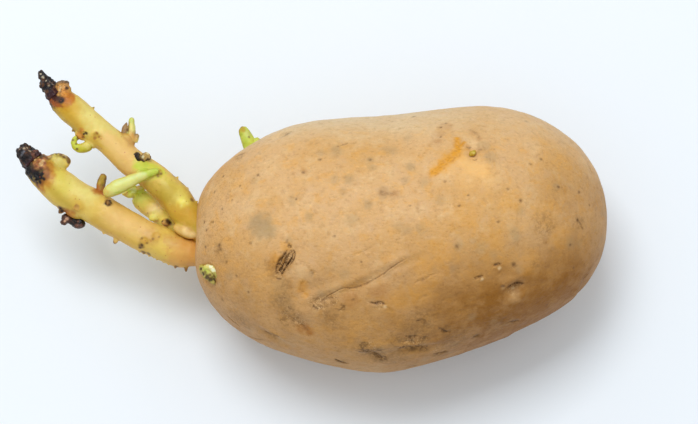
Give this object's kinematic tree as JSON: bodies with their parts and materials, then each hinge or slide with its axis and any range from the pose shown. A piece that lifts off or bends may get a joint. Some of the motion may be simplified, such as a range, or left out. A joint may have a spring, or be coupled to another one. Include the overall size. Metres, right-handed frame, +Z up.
{
  "type": "sprouted potato",
  "caption": "Long oval potato tuber lying on its side, with thick curved sprouts, a side shoot, small buds and withered tips growing from one end.",
  "frame": {"origin": "middle of the small flat spot that the tuber rests on", "axes": "+X along the tuber away from the sprouts, +Z up from the resting surface, +Y towards the far long side, where the single back shoot grows"},
  "size_m": [0.1536, 0.0773, 0.0551],
  "materials": {
    "skin": "matte",
    "sprout": "satin",
    "green_growth": "satin",
    "withered": "satin",
    "brown_scale": "matte"
  },
  "bodies": {
    "root": {"tuber": "skin", "lower_sprout": "sprout", "upper_sprout": "sprout", "middle_sprout": "sprout", "lower_sprout_tip": "withered", "upper_sprout_tip": "withered", "lower_sprout_withered_bud": "withered", "upper_sprout_withered_bud": "withered", "lower_sprout_peg": "brown_scale", "upper_sprout_side_bud": "green_growth", "upper_sprout_curl": "green_growth", "green_shoot": "green_growth", "back_shoot": "green_growth", "end_bud": "green_growth", "eye_bud": "green_growth"}
  },
  "joints": []
}
